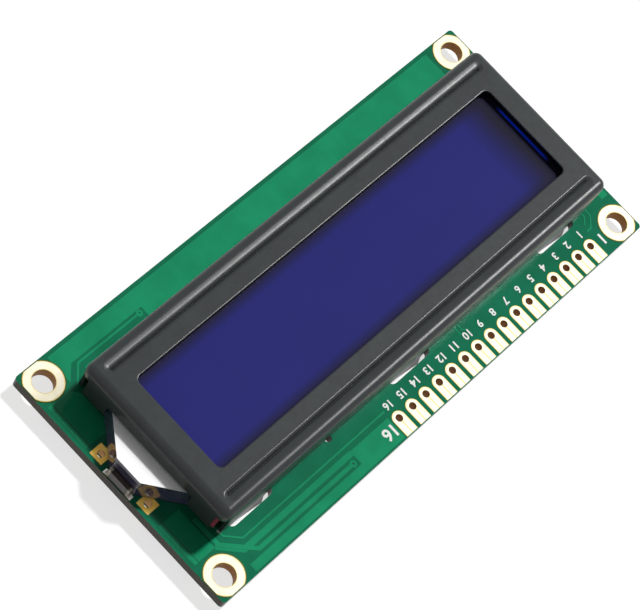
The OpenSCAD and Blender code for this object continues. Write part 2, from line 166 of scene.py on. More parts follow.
def lacquer_finish(name, dark, light):
    """Green lacquer over copper or laminate; the cut edges stay brown."""
    finish, tree, shader, place = start_finish(name, roughness=0.14, specular=0.1)
    green = blend(tree, spread(tree, cloud(tree, place, 260.0), 0.35, 0.65), dark, light)
    laminate = blend(tree, cloud(tree, place, 2500.0), (0.045, 0.034, 0.02), (0.12, 0.10, 0.06))
    on_face = spread(tree, facing(tree), 0.4, 0.6)
    tree.links.new(blend(tree, on_face, laminate, green), shader.inputs["Base Color"])
    tree.links.new(
        spread(tree, cloud(tree, place, 900.0), 0.3, 0.7, 0.12, 0.17), shader.inputs["Roughness"]
    )
    relief(tree, shader, weave_of_board(tree, place), 0.0005 * MM)
    return finish


def paint(node, finish):
    """Gives a CAD node its finish."""
    nodes[node].data.materials.clear()
    nodes[node].data.materials.append(finish)


GREEN_DARK = (0.003, 0.125, 0.060)
GREEN_LIGHT = (0.004, 0.150, 0.073)
paint("printed_circuit_board", lacquer_finish("green_lacquer", GREEN_DARK, GREEN_LIGHT))

# ---- Copper under the lacquer ----------------------------------------------------------------
# Ground planes and tracks etched in the copper foil before the lacquer went on. The lacquer
# looks lighter over the copper and darker in the gaps, where it covers bare laminate.

FOIL = 0.035 * MM


def finish_piece(name, bm, *finishes, replaces=(), slot=None, smooth=False):
    """Turns a bmesh into a piece of the model that rides on the frame."""
    mesh = bpy.data.meshes.new(name)
    bm.to_mesh(mesh)
    bm.free()
    for polygon in mesh.polygons:
        polygon.use_smooth = smooth
    for finish in finishes:
        mesh.materials.append(finish)
    piece = bpy.data.objects.new(name, mesh)
    bpy.context.scene.collection.objects.link(piece)
    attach(piece, "root")
    if replaces:
        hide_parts(*replaces)
    return piece


def lay_track(bm, points, width, height, z=top):
    """A flat track along points in millimetres: one edge across its start, carried along."""
    path = [Vector((x * MM, y * MM)) for x, y in points]
    runs = [(b - a).normalized() for a, b in zip(path, path[1:])]
    across = []
    for i, point in enumerate(path):
        before, after = runs[max(i - 1, 0)], runs[min(i, len(runs) - 1)]
        turn = (before + after).normalized()
        side = Vector((-turn.y, turn.x)) * (width * MM / 2) / max(turn.dot(before), 0.5)
        across.append((point - side, point + side))
    edge = bm.edges.new([bm.verts.new((*p, z)) for p in across[0]])
    faces = []
    for left, right in across[1:]:
        grown = bmesh.ops.extrude_edge_only(bm, edges=[edge])["geom"]
        new = [g for g in grown if isinstance(g, bmesh.types.BMVert)]
        near_left = min(new, key=lambda v: (v.co.xy - edge.verts[0].co.xy).length)
        for v in new:
            v.co.xy = left if v is near_left else right
        faces += [g for g in grown if isinstance(g, bmesh.types.BMFace)]
        edge = bm.edges.get((near_left, next(v for v in new if v is not near_left)))
    bmesh.ops.recalc_face_normals(bm, faces=faces)
    if faces[0].normal.z < 0:
        bmesh.ops.reverse_faces(bm, faces=faces)
    raised = bmesh.ops.extrude_face_region(bm, geom=faces)["geom"]
    lid = [g for g in raised if isinstance(g, bmesh.types.BMFace)]
    bmesh.ops.translate(bm, verts=[g for g in raised if isinstance(g, bmesh.types.BMVert)],
                        vec=(0, 0, height))
    # the lacquer flows over the copper's edge, so the top edges are rounded off
    rim = {e for f in lid for e in f.edges if sum(g in lid for g in e.link_faces) == 1}
    bmesh.ops.bevel(
        bm, geom=list(rim), offset=min(height, 0.2 * width * MM), segments=2, profile=0.5,
        affect="EDGES", material=-1,
    )


def lay_via(bm, x, y, outer, hole, height):
    """A small round land with a dent in its middle, as a lacquered via has."""
    made = bmesh.ops.create_cone(
        bm, cap_ends=True, segments=20, radius1=outer * MM, radius2=outer * MM - height,
        depth=height, matrix=Matrix.Translation((x * MM, y * MM, top + height / 2)),
    )
    lid = max(
        {f for v in made["verts"] for f in v.link_faces}, key=lambda f: f.calc_center_median().z
    )
    bmesh.ops.inset_region(bm, faces=[lid], thickness=(outer - hole) * MM - height)
    dent = bmesh.ops.extrude_discrete_faces(bm, faces=[lid])["faces"][0]
    bmesh.ops.translate(bm, verts=dent.verts, vec=(0, 0, -0.8 * height))
    dent.material_index = 1


# Planes: along the far edge, round the header's first corner, and beyond the last pad
PLANES = [
    ([(-34.3, -14.5), (35.1, -14.5)], 5.9), ([(35.0, -9.5), (39.4, -9.5)], 6.6),
    ([(36.0, 9.3), (39.4, 9.3)], 6.2), ([(7.3, 16.125), (14.25, 16.125)], 3.2),
    ([(14.2, 17.15), (34.2, 17.15)], 1.15), ([(14.2, 14.8), (33.4, 14.8), (35.9, 12.3)], 0.8),
    ([(-38.0, 7.3), (-38.0, -12.0)], 3.0), ([(-39.05, 12.0), (-39.05, 7.0)], 1.2),
]
# Gaps etched out of the planes on both sides of a track
GAPS = [
    ([(21.4, -14.15), (32.9, -14.15), (35.2, -11.85)], 2.0),
    ([(38.75, -12.6), (38.75, 12.4)], 0.18),
]
TRACKS = [
    ([(7.0, 13.7), (32.5, 13.7), (34.2, 12.0), (34.2, 10.4)], 0.28),
    ([(15.1, 15.9), (31.9, 15.9), (35.4, 12.4), (35.4, 8.2)], 0.62),
    ([(22.2, -14.65), (32.6, -14.65), (34.7, -12.55)], 0.3),
    ([(21.9, -13.65), (32.2, -13.65), (33.8, -12.05)], 0.3),
    ([(-35.3, 9.0), (-35.3, 12.5), (-34.0, 13.8), (-33.2, 13.8)], 0.25),
    ([(-34.5, 9.0), (-34.5, 12.1), (-33.6, 13.0)], 0.25),
    ([(-9.6, 12.9), (-9.1, 12.4), (-9.1, 11.4)], 0.22),
    ([(-8.5, 13.0), (-8.5, 11.4)], 0.22),
]
VIAS = [(15.1, 15.9), (22.2, -14.65)]
PLUGGED_VIAS = [(11.9, 15.9), (27.4, -16.0), (31.8, -15.95), (-29.6, -13.4), (-2.5, -12.9)]
PLANE_TOP, GAP_TOP, TRACK_TOP = 0.6 * FOIL, 0.68 * FOIL, 1.3 * FOIL

foil_finish = lacquer_finish("lacquer_on_copper", (0.006, 0.215, 0.096), (0.009, 0.260, 0.118))
via_hole, tree, shader, place = start_finish("via_hole", roughness=0.5, specular=0.1)
tree.links.new(
    blend(tree, cloud(tree, place, 4000.0), (0.002, 0.02, 0.009), (0.004, 0.04, 0.018)),
    shader.inputs["Base Color"],
)

planes, gaps, tracks = bmesh.new(), bmesh.new(), bmesh.new()
for bm, runs, height in ((planes, PLANES, PLANE_TOP), (gaps, GAPS, GAP_TOP), (tracks, TRACKS, TRACK_TOP)):
    for points, width in runs:
        lay_track(bm, points, width, height)
for x, y in VIAS:
    lay_via(tracks, x, y, 0.5, 0.17, TRACK_TOP + 0.3 * FOIL)
for x, y in PLUGGED_VIAS:
    lay_via(tracks, x, y, 0.24, 0.17, PLANE_TOP + 0.1 * FOIL)
finish_piece("ground_planes", planes, foil_finish, slot="solder_mask")
finish_piece("etched_gaps", gaps, nodes["printed_circuit_board"].data.materials[0], slot="solder_mask")
finish_piece("front_tracks", tracks, foil_finish, via_hole, slot="solder_mask")

# ---- Plated rings and pads -------------------------------------------------------------------
# Copper lands and hole walls, plated in nickel and a flash of gold. The header pads and rings are painted
# pale cream and the lamp pads a deeper gold, lit and shaded copies of one plating; the walls of the holes are
# painted orange brown, painted shade and reflection for where they see each other.

def from_point(tree, x, y):
    """How far a place is from a point, given its x and y from there."""
    joined = tree.nodes.new("ShaderNodeCombineXYZ")
    for socket, value in enumerate((x, y)):
        tree.links.new(value, joined.inputs[socket])
    length = tree.nodes.new("ShaderNodeVectorMath")
    length.operation = "LENGTH"
    tree.links.new(joined.outputs[0], length.inputs[0])
    return length.outputs["Value"]


def from_ring(tree, place):
    """How far a place is from the middle of the nearest corner hole."""
    at = axes(tree, place)
    return from_point(
        tree,
        combine(tree, "SUBTRACT", combine(tree, "ABSOLUTE", at["X"], 0.0), board_high.x - HOLE_INSET),
        combine(tree, "SUBTRACT", combine(tree, "ABSOLUTE", at["Y"], 0.0), board_high.y - HOLE_INSET),
    )


def from_pad(tree, place):
    """How far a place is from the nearest header pad's spine, which runs from its hole outwards."""
    at = axes(tree, place)
    turns = combine(
        tree, "DIVIDE", combine(tree, "SUBTRACT", at["X"], row_low.x + PAD_HALF - PITCH / 2), PITCH
    )
    side = combine(tree, "SUBTRACT", combine(tree, "FRACT", turns, 0.0), 0.5)
    return from_point(
        tree, combine(tree, "MULTIPLY", side, PITCH),
        combine(tree, "MINIMUM", combine(tree, "SUBTRACT", at["Y"], board_high.y - HOLE_INSET), 0.0),
    )


def plated_finish(name, flats, wall, roughness, metallic, distance=None, rim=0.0, hole=0.0):
    """Gold flash over nickel, deeper in colour towards the rim and round the hole."""
    finish, tree, shader, place = start_finish(name, roughness, metallic, specular=0.3)
    flat = blend(tree, spread(tree, cloud(tree, place, 700.0), 0.35, 0.65), flats[0], flats[1])
    if distance:
        reach = distance(tree, place)
        outline = combine(
            tree, "MAXIMUM", spread(tree, reach, rim - 0.16 * MM, rim - 0.03 * MM),
            spread(tree, reach, hole + 0.12 * MM, hole + 0.02 * MM),
        )
        flat = blend(tree, outline, flat, flats[2])
    # the walls of the holes take the darker wall colour: painted shade and reflection
    on_face = spread(tree, facing(tree), 0.3, 0.8)
    tree.links.new(blend(tree, on_face, wall, flat), shader.inputs["Base Color"])
    tree.links.new(
        spread(tree, cloud(tree, place, 3000.0), 0.3, 0.7, roughness - 0.06, roughness + 0.08),
        shader.inputs["Roughness"],
    )
    relief(tree, shader, cloud(tree, place, 5000.0), 0.002 * MM)
    return finish


PITCH = 2.54 * MM
PAD_HALF = 0.97 * MM
HOLE_INSET = 2.5 * MM
row_low, row_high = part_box("header_pads")
# painted light and shade: pale cream for the header pads and rings, a deeper gold for the lamp pads, and a
# darker orange brown for the holes' walls
lit_cream = ((0.82, 0.76, 0.56), (0.88, 0.83, 0.65), (0.66, 0.50, 0.13))
gold = ((0.86, 0.52, 0.08), (0.97, 0.68, 0.18))
brown = (0.42, 0.19, 0.035)
paint("mounting_rings", plated_finish(
    "ring_plating", lit_cream, brown, 0.5, 0.25, from_ring, 2.6 * MM, 1.5 * MM))
paint("header_pads", plated_finish(
    "pad_plating", lit_cream, brown, 0.5, 0.25, from_pad, PAD_HALF, 0.0))
shaded_gold = plated_finish("deep_gold_plating", gold, (0.55, 0.28, 0.05), 0.4, 0.6)
paint("lamp_pads", shaded_gold)
paint("led_pads", shaded_gold)
paint("contact_fingers", shaded_gold)

# ---- Openings in the lacquer --------------------------------------------------------------------
# Around each plated land the lacquer stops just short, so a thin line of bare olive-brown
# laminate outlines it.

MARGIN = 0.13 * MM
lamp_low, lamp_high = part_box("lamp_pads")
PINS = 16

bare, tree, shader, place = start_finish("bare_laminate", roughness=0.45, specular=0.3)
tree.links.new(
    blend(tree, cloud(tree, place, 3000.0), (0.020, 0.045, 0.003), (0.045, 0.080, 0.006)),
    shader.inputs["Base Color"],
)


def flat_rim(bm, half_x, half_y, corner, x, y, z, height, width, segments=8):
    """A thin rim with rounded corners, from a square grown to size, bevelled and inset."""
    start = bmesh.ops.create_grid(bm, x_segments=1, y_segments=1, size=1.0)["verts"]
    bmesh.ops.scale(bm, vec=(half_x, half_y, 1.0), verts=start)
    bmesh.ops.translate(bm, vec=(x, y, z), verts=start)
    face = start[0].link_faces[0]
    if corner:
        rounded = bmesh.ops.bevel(
            bm, geom=start, offset=corner, segments=segments, profile=0.5,
            affect="VERTICES", material=-1,
        )
        face = max(rounded["verts"][0].link_faces, key=lambda f: len(f.verts))
    rim = bmesh.ops.inset_region(bm, faces=[face], thickness=width)["faces"]
    bmesh.ops.delete(bm, geom=[face], context="FACES_ONLY")
    raised = bmesh.ops.extrude_face_region(bm, geom=rim)["geom"]
    for v in (g for g in raised if isinstance(g, bmesh.types.BMVert)):
        v.co.z += height


openings = bmesh.new()
ring_r = 2.6 * MM + MARGIN
OPENING = 1.15 * FOIL
for x in (-1, 1):
    for y in (-1, 1):
        made = bmesh.ops.create_cone(
            openings, cap_ends=False, segments=64, radius1=ring_r, radius2=ring_r, depth=2 * OPENING,
        )["verts"]
        bmesh.ops.translate(
            openings, verts=made,
            vec=(x * (board_high.x - HOLE_INSET), y * (board_high.y - HOLE_INSET), top),
        )
        for v in made:
            v.co.x = max(min(v.co.x, board_high.x - 0.02 * MM), board_low.x + 0.02 * MM)
            v.co.y = max(min(v.co.y, board_high.y - 0.02 * MM), board_low.y + 0.02 * MM)
        rim = [e for e in openings.edges if e.is_boundary and all(
            v in made and v.co.z > top for v in e.verts)]
        inner = bmesh.ops.extrude_edge_only(openings, edges=rim)["geom"]
        centre = Vector((x * (board_high.x - HOLE_INSET), y * (board_high.y - HOLE_INSET)))
        for v in (g for g in inner if isinstance(g, bmesh.types.BMVert)):
            v.co.xy = centre + (v.co.xy - centre).normalized() * 1.6 * MM
for i in range(PINS):
    x = row_low.x + PAD_HALF + i * PITCH
    reach = (row_high.y - row_low.y) / 2
    flat_rim(
        openings, PAD_HALF + MARGIN, reach + MARGIN, PAD_HALF + MARGIN - 0.002 * MM,
        x, row_low.y + reach, top, OPENING, 1.5 * MARGIN,
    )
for y in (lamp_low.y + 1 * MM, lamp_high.y - 1 * MM):
    flat_rim(
        openings, 1 * MM + MARGIN, 1 * MM + MARGIN, 0, lamp_low.x + 1 * MM, y, top, OPENING,
        1.5 * MARGIN,
    )
bmesh.ops.recalc_face_normals(openings, faces=openings.faces)
finish_piece("lacquer_openings", openings, bare, slot="solder_mask")

# ---- Printed numbers ------------------------------------------------------------------------------
# White ink screened on the lacquer: the pads' plain numbers in a row behind them, and the
# first and last numbers again, larger, beside the row's ends.

ink, tree, shader, place = start_finish("white_ink", roughness=0.55, specular=0.3)
tree.links.new(
    blend(tree, cloud(tree, place, 6000.0), (0.62, 0.66, 0.62), (0.86, 0.88, 0.85)),
    shader.inputs["Base Color"],
)
INK = 0.02 * MM
numbers = bmesh.new()


def print_number(bm, text, height, x, y):
    """One number in ink, `height` tall, with its middle at x and its foot at y."""
    curve = bpy.data.curves.new("number", "FONT")
    curve.body = text
    curve.extrude = 0.5
    curve.offset = 0.025
    curve.resolution_u = 3
    holder = bpy.data.objects.new("number", curve)
    bpy.context.scene.collection.objects.link(holder)
    bpy.context.view_layer.update()
    shape = holder.to_mesh()
    xs = [v.co.x for v in shape.vertices]
    ys = [v.co.y for v in shape.vertices]
    grow = height / (max(ys) - min(ys))
    shape.transform(
        Matrix.Translation((x - grow * (min(xs) + max(xs)) / 2, y - grow * min(ys), top + INK + FOIL * 0.6))
        @ Matrix.Diagonal((grow, grow, INK, 1.0))
    )
    bm.from_mesh(shape)
    holder.to_mesh_clear()
    bpy.data.objects.remove(holder)
    bpy.data.curves.remove(curve)


for i in range(PINS):
    x = row_low.x + PAD_HALF + i * PITCH
    print_number(numbers, str(i + 1), 1.1 * MM, x, row_low.y - 1.65 * MM)
print_number(numbers, "1", 1.6 * MM, row_low.x - 1.15 * MM, row_low.y + 0.45 * MM)
print_number(numbers, str(PINS), 1.75 * MM, row_high.x + 1.5 * MM, row_low.y + 0.75 * MM)
finish_piece("printed_numbers", numbers, ink, slot="solder_mask")

# ---- Bezel ----------------------------------------------------------------------------------------
# One blank of half-millimetre steel: the window is punched, two beads are pressed in, the four
# walls are folded down and the whole is painted satin black. Six tabs run down through the
# board's slots and are twisted behind it.

SHEET = 0.5 * MM
low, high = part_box("bezel")
BEZEL_HALF_L = (high.x - low.x) / 2
BEZEL_HALF_W = 11.65 * MM
mid_y = (low.y + high.y) / 2
face_z = high.z
BEND = 0.6 * MM
FLAT_R = 0.04 * MM


def grown_loop(bm, edges, corner_x, corner_y, reach, z, old_y=mid_y, new_y=mid_y):
    """Carries a rounded loop on, to `reach` from the centres of its corners and to height z.

    The loop's own middle may move from old_y to new_y on the way."""
    grown = bmesh.ops.extrude_edge_only(bm, edges=edges)["geom"]
    new = {g for g in grown if isinstance(g, bmesh.types.BMVert)}
    for v in new:
        away = Vector((math.copysign(corner_x, v.co.x), math.copysign(corner_y, v.co.y - old_y)))
        out = (v.co.xy - Vector((away.x, away.y * (corner_y > 0) + old_y))).normalized()
        v.co = (away.x + out.x * reach, away.y * (corner_y > 0) + new_y + out.y * reach, z)
    return [g for g in grown if isinstance(g, bmesh.types.BMEdge) and set(g.verts) <= new]


def rounded_loop(bm, half_x, half_y, corner, y, z, segments=8):
    """The bare outline of a rounded rectangle."""
    start = bmesh.ops.create_grid(bm, x_segments=1, y_segments=1, size=1.0)["verts"]
    bmesh.ops.scale(bm, vec=(half_x, half_y, 1.0), verts=start)
    bmesh.ops.translate(bm, vec=(0, y, z), verts=start)
    rounded = bmesh.ops.bevel(
        bm, geom=start, offset=corner, segments=segments, profile=0.5,
        affect="VERTICES", material=-1,
    )
    face = max(rounded["verts"][0].link_faces, key=lambda f: len(f.verts))
    edges = list(face.edges)
    bmesh.ops.delete(bm, geom=[face], context="FACES_ONLY")
    return edges


shell = bmesh.new()
CORNER_X = BEZEL_HALF_L - BEND - FLAT_R
CORNER_Y = BEZEL_HALF_W - BEND - FLAT_R
outline = rounded_loop(shell, CORNER_X + FLAT_R, CORNER_Y + FLAT_R, FLAT_R, mid_y, face_z, 6)

# The window's edge rolls over slightly where the punch pulled the sheet down
WINDOW_X, WINDOW_Y, WINDOW_R = 32.35 * MM, 7.4 * MM, 1.0 * MM
window = rounded_loop(shell, WINDOW_X + 0.06 * MM, WINDOW_Y + 0.06 * MM, WINDOW_R + 0.06 * MM, mid_y, face_z)

# Beads: each is a trough with one steep side towards the face and one easy slope up to the
# bezel's edge. Every level is (drop, how far the face side has come in, how far the other has).
BEAD_FACE, BEAD_EDGE, BEAD_CENTRE_X = 9.25 * MM, 11.0 * MM, 33.47 * MM
BEAD_LEVELS = [
    (0.012, 0.03, 0.10), (0.045, 0.07, 0.32), (0.085, 0.10, 0.52), (0.15, 0.135, 0.62),
    (0.38, 0.20, 0.70), (0.47, 0.24, 0.74), (0.50, 0.30, 0.80),
]


def bead_section(side, face_inset=0.0, edge_inset=0.0):
    """The middle and half the width of a bead's loop at one level."""
    inner, outer = BEAD_FACE + face_inset * MM, BEAD_EDGE - edge_inset * MM
    return mid_y + side * (inner + outer) / 2, (outer - inner) / 2


bead_rims = []
for side in (-1, 1):
    bead_y, half = bead_section(side)
    bead_rims.append((side, rounded_loop(
        shell, BEAD_CENTRE_X + half, half, half - 0.002 * MM, bead_y, face_z, 12)))

bmesh.ops.triangle_fill(
    shell, use_beauty=True, use_dissolve=False, normal=(0, 0, 1),
    edges=outline + window + [e for _, rim in bead_rims for e in rim],
)
for side, rim in bead_rims:
    bead_y, half = bead_section(side)
    for drop, face_inset, edge_inset in BEAD_LEVELS:
        next_y, half = bead_section(side, face_inset, edge_inset)
        rim = grown_loop(shell, rim, BEAD_CENTRE_X, 0.0, half, face_z - drop * MM, bead_y, next_y)
        bead_y = next_y
    bmesh.ops.edgeloop_fill(shell, edges=rim)
window = grown_loop(
    shell, window, WINDOW_X - WINDOW_R, WINDOW_Y - WINDOW_R, WINDOW_R, face_z - 0.02 * MM
)

# The bend round the outside, in steps of 15 degrees, then the walls in bands
rim = outline
for degrees in range(15, 91, 15):
    a = math.radians(degrees)
    rim = grown_loop(
        shell, rim, CORNER_X, CORNER_Y, FLAT_R + BEND * math.sin(a), face_z - BEND * (1 - math.cos(a))
    )
WALL_R = FLAT_R + BEND
SLIT = 0.9 * MM
slit_top = face_z - BEND - SLIT
notch_top = top + 4.25 * MM
end_foot = top + 2.0 * MM
for z in (slit_top, notch_top, end_foot, top):
    rim = grown_loop(shell, rim, CORNER_X, CORNER_Y, WALL_R, z)


def middle(face):
    return face.calc_center_median()


def cut_across(faces, x=0.0, y=0.0):
    """Divides faces where they cross a plane at x or at y."""
    near = set(faces)
    bmesh.ops.bisect_plane(
        shell, geom=list(near) + list({e for f in near for e in f.edges})
        + list({v for f in near for v in f.verts}),
        plane_co=(x, y, 0), plane_no=(1, 0, 0) if x else (0, 1, 0), dist=1e-7,
    )


# Slits at the corners, short end walls, and the notch that lets the light guide out
NOTCH_HALF = 7.15 * MM
SLIT_X, SLIT_Y = BEZEL_HALF_L - SLIT, BEZEL_HALF_W - SLIT
for x in (-SLIT_X, SLIT_X):
    cut_across([f for f in shell.faces if abs(middle(f).y - mid_y) > BEZEL_HALF_W - 0.01 * MM], x=x)
for y in (mid_y - SLIT_Y, mid_y + SLIT_Y, mid_y - NOTCH_HALF, mid_y + NOTCH_HALF):
    cut_across([f for f in shell.faces if abs(middle(f).x) > BEZEL_HALF_L - 0.01 * MM], y=y)
bmesh.ops.delete(shell, context="FACES", geom=[
    f for f in shell.faces
    if (abs(middle(f).x) > SLIT_X and abs(middle(f).y - mid_y) > SLIT_Y and middle(f).z < slit_top)
    or (abs(middle(f).x) > BEZEL_HALF_L - 0.01 * MM and middle(f).z < end_foot)
    or (middle(f).x > CORNER_X and abs(middle(f).y - mid_y) < NOTCH_HALF and middle(f).z < notch_top)
])

# Tabs: cut free of the wall's foot, run down through the board, then twisted
TAB_HALF, TAB_PITCH, TWIST = 3.0 * MM, 29.0 * MM, math.radians(6)
for tab_x in (-TAB_PITCH, 0.0, TAB_PITCH):
    for x in (tab_x - TAB_HALF, tab_x + TAB_HALF):
        cut_across([f for f in shell.faces if abs(middle(f).y - mid_y) > BEZEL_HALF_W - 0.01 * MM
                    and middle(f).z < end_foot], x=x)
for tab_x in (-TAB_PITCH, 0.0, TAB_PITCH):
    for side in (-1, 1):
        edge = [
            e for e in shell.edges if e.is_boundary
            and all(abs(v.co.z - top) < 1e-7 and abs(v.co.x - tab_x) < TAB_HALF + 1e-7
                    and side * (v.co.y - mid_y) > 0 for v in e.verts)
        ]
        steps = [(0.0, back)] + [
            (TWIST * i / 6, back + (low.z - back) * i / 6) for i in range(1, 7)
        ]
        hub = Vector((tab_x, mid_y + side * (BEZEL_HALF_W - SHEET / 2)))
        reach = {v: v.co.x - tab_x for e in edge for v in e.verts}
        for turned, z in steps:
            grown = bmesh.ops.extrude_edge_only(shell, edges=edge)["geom"]
            edge = [g for g in grown if isinstance(g, bmesh.types.BMEdge)
                    and all(v in grown for v in g.verts) and not any(v in reach for v in g.verts)]
            new = [g for g in grown if isinstance(g, bmesh.types.BMVert)]
            for v in new:
                arm = math.copysign(TAB_HALF, v.co.x - tab_x)
                out = side * SHEET / 2
                # the end nearer the board's far end turns outwards
                c, s = math.cos(turned), math.sin(turned) * -side
                v.co = (hub.x + arm * c - out * s, hub.y + arm * s + out * c, z)
            reach = {v: v.co.x - tab_x for v in new}
bmesh.ops.recalc_face_normals(shell, faces=shell.faces)
roof = max(shell.faces, key=lambda f: f.calc_area())
if roof.normal.z < 0:
    bmesh.ops.reverse_faces(shell, faces=shell.faces)

black, tree, shader, place = start_finish("satin_black_paint", roughness=0.3, specular=0.25)
paint_shade = spread(tree, cloud(tree, place, 350.0), 0.3, 0.7)
satin = blend(tree, paint_shade, (0.024, 0.028, 0.029), (0.029, 0.034, 0.035))
dust = spread(tree, cloud(tree, place, 5200.0, 1.0), 0.72, 0.76, 0.0, 0.35)
satin = blend(tree, dust, satin, (0.10, 0.11, 0.11))
# the paint is rubbed through at the foot of one slit's edge, and the bare steel there is painted pale grey as
# a glint: a painted highlight
at = axes(tree, place)
bare_spot_glint = combine(tree, "MULTIPLY", spread(tree, at["X"], 33.6 * MM, 33.9 * MM),
               spread(tree, at["Z"], 2.2 * MM, 2.0 * MM))
bare_spot_glint = combine(tree, "MULTIPLY", bare_spot_glint, spread(tree, at["Y"], 10.4 * MM, 10.7 * MM))
bare_spot_glint = combine(tree, "MULTIPLY", bare_spot_glint, spread(tree, cloud(tree, place, 2200.0), 0.4, 0.5))
tree.links.new(blend(tree, bare_spot_glint, satin, (0.50, 0.50, 0.50)), shader.inputs["Base Color"])
tree.links.new(spread(tree, cloud(tree, place, 1200.0), 0.3, 0.7, 0.28, 0.33),
               shader.inputs["Roughness"])
relief(tree, shader, cloud(tree, place, 4500.0, 2.0), 0.0015 * MM)

bezel = finish_piece("painted_bezel", shell, black, replaces=["bezel"], slot="black_steel", smooth=True)
for polygon in bezel.data.polygons:
    if max(abs(n) for n in polygon.normal) > 0.99999:
        polygon.use_smooth = False
wall = bezel.modifiers.new("sheet", "SOLIDIFY")
wall.thickness = SHEET
wall.offset = -1.0
wall.use_even_offset = True
edges = bezel.modifiers.new("edges", "BEVEL")
edges.width = 0.05 * MM
edges.segments = 2
edges.limit_method = "ANGLE"
edges.angle_limit = math.radians(50)

# ---- Display ---------------------------------------------------------------------------------------
# Two sheets of glass with the liquid crystal sealed between them and a polarizing film on each
# outer side. Switched off, the film lets back only a deep blue violet.

film, tree, shader, place = start_finish("blue_film", roughness=0.25, specular=0.08)
film_low, film_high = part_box("front_polarizer")
at = axes(tree, place)
# painted shade: the blue violet fades to near black over the far end, along a wavy line, and darkens towards
# the near end and the long edges
wavy = combine(tree, "MULTIPLY", cloud(tree, place, 60.0, 1.0), 3 * MM)
along = spread(tree, combine(tree, "ADD", at["X"], wavy), film_low.x + 5 * MM, film_low.x + 9 * MM)
near_end_shade = spread(tree, at["X"], film_high.x - 2.5 * MM, film_high.x - 0.8 * MM, 1.0, 0.3)
from_middle = combine(tree, "ABSOLUTE", combine(tree, "SUBTRACT", at["Y"], mid_y), 0.0)
long_edge_shade = spread(tree, from_middle, 5.6 * MM, 7.3 * MM, 1.0, 0.0)
painted_light = combine(tree, "MULTIPLY", combine(tree, "MULTIPLY", near_end_shade, long_edge_shade), along)
tint = blend(tree, cloud(tree, place, 120.0), (0.016, 0.018, 0.138), (0.021, 0.022, 0.158))
tree.links.new(blend(tree, painted_light, (0.013, 0.012, 0.026), tint), shader.inputs["Base Color"])
relief(tree, shader, cloud(tree, place, 9000.0, 1.0), 0.0003 * MM)
# a thin blue line glows in the film near its far end: painted light, standing for light that the glass's cut
# end catches
from_glow_line = combine(tree, "ABSOLUTE", combine(tree, "SUBTRACT", at["X"], film_low.x + 1.8 * MM), 0.0)
line = combine(tree, "MULTIPLY", spread(tree, from_glow_line, 0.14 * MM, 0.24 * MM, 1.0, 0.0),
               spread(tree, from_middle, 3.8 * MM, 4.8 * MM, 1.0, 0.0))
tree.links.new(blend(tree, line, (0.0, 0.0, 0.0), (0.0, 0.006, 0.13)), shader.inputs["Emission Color"])
shader.inputs["Emission Strength"].default_value = 1.0
paint("front_polarizer", film)

glass, tree, shader, place = start_finish("clear_glass", roughness=0.04)
shader.inputs["Transmission Weight"].default_value = 1.0
shader.inputs["IOR"].default_value = 1.52
tree.links.new(blend(tree, cloud(tree, place, 90.0), (0.78, 0.88, 0.86), (0.84, 0.92, 0.90)),
               shader.inputs["Base Color"])
paint("front_glass", glass)
paint("rear_glass", glass)


def mottled_finish(name, dark, light, scale, roughness, specular=0.5, metallic=0.0, depth=0.0):
    """A plain material with fine mottling in its colour, sheen and surface."""
    finish, tree, shader, place = start_finish(name, roughness, metallic, specular)
    grain = cloud(tree, place, scale)
    tree.links.new(blend(tree, spread(tree, grain, 0.3, 0.7), dark, light), shader.inputs["Base Color"])
    tree.links.new(
        spread(tree, grain, 0.3, 0.7, max(roughness - 0.05, 0.02), roughness + 0.05),
        shader.inputs["Roughness"],
    )
    if depth:
        relief(tree, shader, grain, depth * MM)
    return finish


crystal = mottled_finish("liquid_crystal_layer", (0.02, 0.02, 0.16), (0.03, 0.03, 0.20), 200.0, 0.3)
sealant = mottled_finish("sealing_resin", (0.34, 0.30, 0.20), (0.44, 0.40, 0.28), 2500.0, 0.4, depth=0.01)
grey_film = mottled_finish("grey_film", (0.05, 0.05, 0.09), (0.07, 0.07, 0.12), 300.0, 0.25)
paint("liquid_crystal", crystal)
paint("cell_seal", sealant)
paint("fill_plug", sealant)
paint("rear_polarizer", grey_film)

# ---- Contact strips ----------------------------------------------------------------------------------
# Rubber strips that carry the signals from the board up to the glass: a core of fine carbon
# layers between two soft pink silicone sponges, squeezed under the glass's ledges.

sponge = mottled_finish("pink_silicone", (0.42, 0.06, 0.10), (0.62, 0.12, 0.18), 1800.0, 0.6, 0.3, depth=0.02)
carbon = mottled_finish(
    "carbon_rubber", (0.006, 0.006, 0.007), (0.016, 0.016, 0.018), 3500.0, 0.55, 0.3, depth=0.01
)
paint("strip_sponges", sponge)
paint("strip_cores", carbon)

# ---- Backlight -------------------------------------------------------------------------------------
# A moulded block of clear acrylic whose nose gathers the lamp's light, with a matt diffuser above,
# a white film below and silver tape over the nose.

acrylic, tree, shader, place = start_finish("clear_acrylic", roughness=0.05)
shader.inputs["Transmission Weight"].default_value = 0.85
shader.inputs["IOR"].default_value = 1.49
tree.links.new(blend(tree, cloud(tree, place, 250.0), (0.34, 0.32, 0.62), (0.42, 0.40, 0.70)),
               shader.inputs["Base Color"])
paint("light_guide", acrylic)
paint("diffuser", mottled_finish("diffuser_film", (0.74, 0.74, 0.77), (0.82, 0.82, 0.85), 900.0, 0.7))
paint("guide_reflector", mottled_finish("white_film", (0.78, 0.78, 0.78), (0.86, 0.86, 0.86), 900.0, 0.5))

silver, tree, shader, place = start_finish("silver_tape", roughness=0.35, metallic=0.15)
tree.links.new(blend(tree, cloud(tree, place, 500.0), (0.90, 0.90, 0.90), (0.95, 0.95, 0.95)),
               shader.inputs["Base Color"])
relief(tree, shader, cloud(tree, place, 900.0, 2.0), 0.006 * MM)
paint("nose_tape", silver)

# ---- Lamp ------------------------------------------------------------------------------------------
# A side-view LED on the board's end: a dark moulded body with a yellow window towards the nose,
# and a tinned terminal at each end, held by a fillet of solder.

